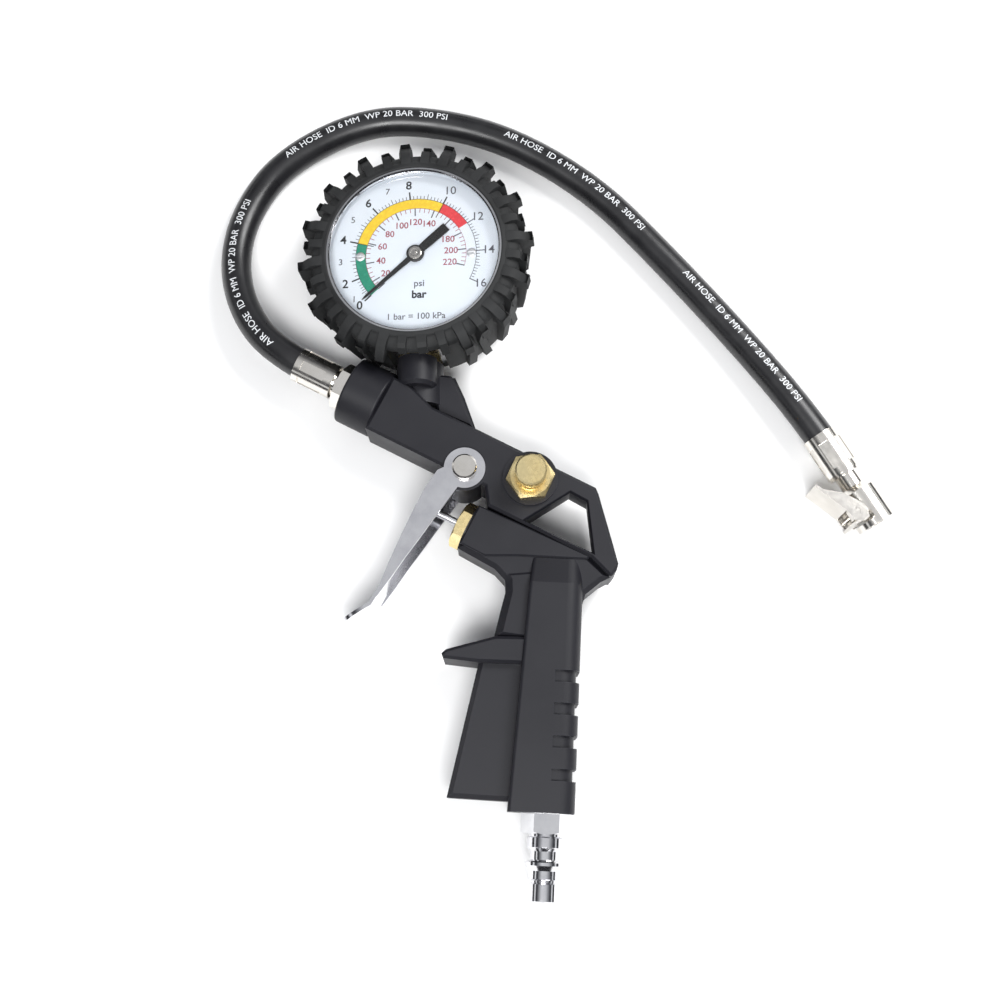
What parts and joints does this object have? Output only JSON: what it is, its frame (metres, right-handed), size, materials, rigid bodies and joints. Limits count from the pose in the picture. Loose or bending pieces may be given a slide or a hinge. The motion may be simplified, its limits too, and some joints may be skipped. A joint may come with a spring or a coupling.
{
  "type": "tyre inflator with gauge",
  "caption": "Hand-held tyre inflator gun with a dial gauge in a tread-patterned rubber boot, trigger, bleed button, hose and clip-on chuck",
  "frame": {"origin": "middle of the foot of the gun's bounding box, on the surface it lies on, without the hose and chuck", "axes": "the gun lies on its side: grip along -Y, barrel rising towards -X and +Y, dial facing +Z"},
  "size_m": [0.2351, 0.2745, 0.0386],
  "materials": {
    "moulded_body": "fine-grained charcoal moulding",
    "boot_rubber": "dull moulded rubber",
    "hose_rubber": "smooth semi-gloss rubber",
    "seal_rubber": "smooth seal rubber",
    "brass": "turned yellow brass",
    "sintered_bronze": "sintered porous bronze",
    "steel": "plain steel",
    "chrome_steel": "bright chromed steel",
    "nickel": "bright nickel plate",
    "lens": "clear flat lens",
    "dial": "bluish-white printed dial",
    "pointer_black": "matt black paint"
  },
  "bodies": {
    "gun": {"bleed_nut": "brass", "bleed_spring": "steel", "bourdon_tube": "brass", "chuck_body": "nickel", "chuck_collar": "nickel", "chuck_connector": "nickel", "chuck_depressor": "nickel", "chuck_ferrule": "nickel", "chuck_lever_pin": "nickel", "chuck_seal": "seal_rubber", "chuck_spring": "steel", "dial_plate": "dial", "dial_screws": "steel", "gauge_bezel": "chrome_steel", "gauge_case": "steel", "gauge_lens": "lens", "gauge_socket": "brass", "gland_nut": "brass", "gland_seal": "seal_rubber", "gun_body": "moulded_body", "gun_ferrule": "nickel", "hairspring": "brass", "hose": "hose_rubber", "hose_fitting": "nickel", "inlet_filter": "sintered_bronze", "inlet_plug": "chrome_steel", "inlet_seal": "seal_rubber", "movement_link": "brass", "movement_plates": "brass", "nose_collar": "moulded_body", "pin_clip": "nickel", "rubber_boot": "boot_rubber", "trigger_pin": "nickel", "valve_seat": "brass", "valve_spring": "steel"},
    "trigger": {"trigger_lever": "chrome_steel"},
    "push_rod": {"push_pin": "steel", "valve_poppet": "brass"},
    "bleed_valve": {"bleed_button": "brass", "bleed_seal": "seal_rubber"},
    "sector": {"sector_gear": "brass"},
    "pointer": {"gauge_pointer": "pointer_black", "pointer_arbor": "steel"},
    "clip_lever": {"chuck_lever": "nickel"}
  },
  "joints": [
    {"name": "trigger_pull", "type": "hinge", "parent": "gun", "child": "trigger", "pos_m": [0.0043, 0.0127, 0.0145], "axis": [0, 0, 1], "range_deg": [0, 12], "stiffness_Nm_per_rad": 1, "springref_deg": -17.19},
    {"name": "push_rod_slide", "type": "slide", "parent": "gun", "child": "push_rod", "axis": [0.9114, -0.4115, 0], "range_m": [0, 0.0037], "deforming": ["valve_spring"]},
    {"name": "bleed_press", "type": "slide", "parent": "gun", "child": "bleed_valve", "axis": [0, 0, -1], "range_m": [0, 0.0015], "stiffness_N_per_m": 1500, "springref_m": -0.001, "deforming": ["bleed_spring"]},
    {"name": "sector_turn", "type": "hinge", "parent": "gun", "child": "sector", "pos_m": [-0.02771, 0.07992, 0.02032], "axis": [-0.1064, 0.0387, 0.9936], "range_deg": [0, 33], "stiffness_Nm_per_rad": 0.01, "deforming": ["bourdon_tube", "movement_link", "hairspring"]},
    {"name": "pointer_turn", "type": "hinge", "parent": "gun", "child": "pointer", "pos_m": [-0.01546, 0.08519, 0.02294], "axis": [0.1064, -0.0387, -0.9936], "range_deg": [0, 264]},
    {"name": "clip_open", "type": "hinge", "parent": "gun", "child": "clip_lever", "pos_m": [0.13521, 0.00647, 0.0086], "axis": [0, 0, -1], "range_deg": [0, 14], "stiffness_Nm_per_rad": 0.3, "springref_deg": -11.46, "deforming": ["chuck_spring"]}
  ],
  "couplings": [
    {"joint": "push_rod_slide", "follows": "trigger_pull", "m_per_rad": 0.016},
    {"joint": "pointer_turn", "follows": "sector_turn", "ratio": 8}
  ]
}
